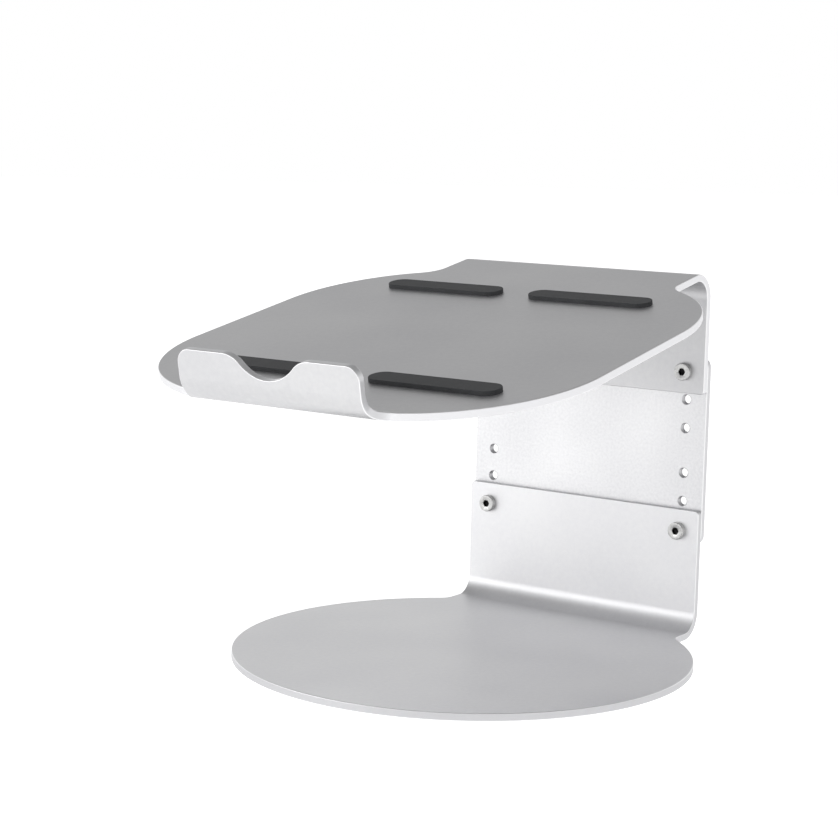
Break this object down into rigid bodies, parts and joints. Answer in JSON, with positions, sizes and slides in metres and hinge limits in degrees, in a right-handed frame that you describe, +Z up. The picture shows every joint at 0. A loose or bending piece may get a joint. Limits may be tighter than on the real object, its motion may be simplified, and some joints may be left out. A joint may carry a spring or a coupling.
{
  "type": "laptop stand",
  "caption": "Free-standing laptop stand: round base plate with an upright, a bolted plate that sets the height, and a sloping tray with a notched front lip.",
  "frame": {"origin": "centre of the base disc, on the surface that the feet stand on", "axes": "+Z up; +Y to the back, where the upright stands; +X to the right as seen from the front"},
  "size_m": [0.214, 0.2599, 0.1786],
  "materials": {
    "base_aluminium": "bead-blasted and clear anodised, satin",
    "plate_aluminium": "coarse bead-blasted and clear anodised, satin",
    "tray_aluminium": "bead-blasted and clear anodised, satin",
    "screw_steel": "zinc-plated, satin",
    "silicone": "moulded, matt"
  },
  "bodies": {
    "base": {"base_frame": "base_aluminium", "lower_screw_left": "screw_steel", "lower_screw_right": "screw_steel", "foot_centre": "silicone", "foot_front": "silicone", "foot_front_right": "silicone", "foot_rear_right": "silicone", "foot_rear_left": "silicone", "foot_front_left": "silicone"},
    "plate": {"height_plate": "plate_aluminium"},
    "tray": {"tray_frame": "tray_aluminium", "upper_screw_left": "screw_steel", "upper_screw_right": "screw_steel", "tray_pad_front_left": "silicone", "tray_pad_rear_left": "silicone", "lip_pad_left": "silicone", "tray_pad_front_right": "silicone", "tray_pad_rear_right": "silicone", "lip_pad_right": "silicone"}
  },
  "joints": [
    {"name": "plate_height", "type": "slide", "parent": "base", "child": "plate", "axis": [0, 0, 1], "range_m": [-0.028, 0]},
    {"name": "tray_height", "type": "slide", "parent": "plate", "child": "tray", "axis": [0, 0, 1], "range_m": [-0.028, 0]}
  ]
}
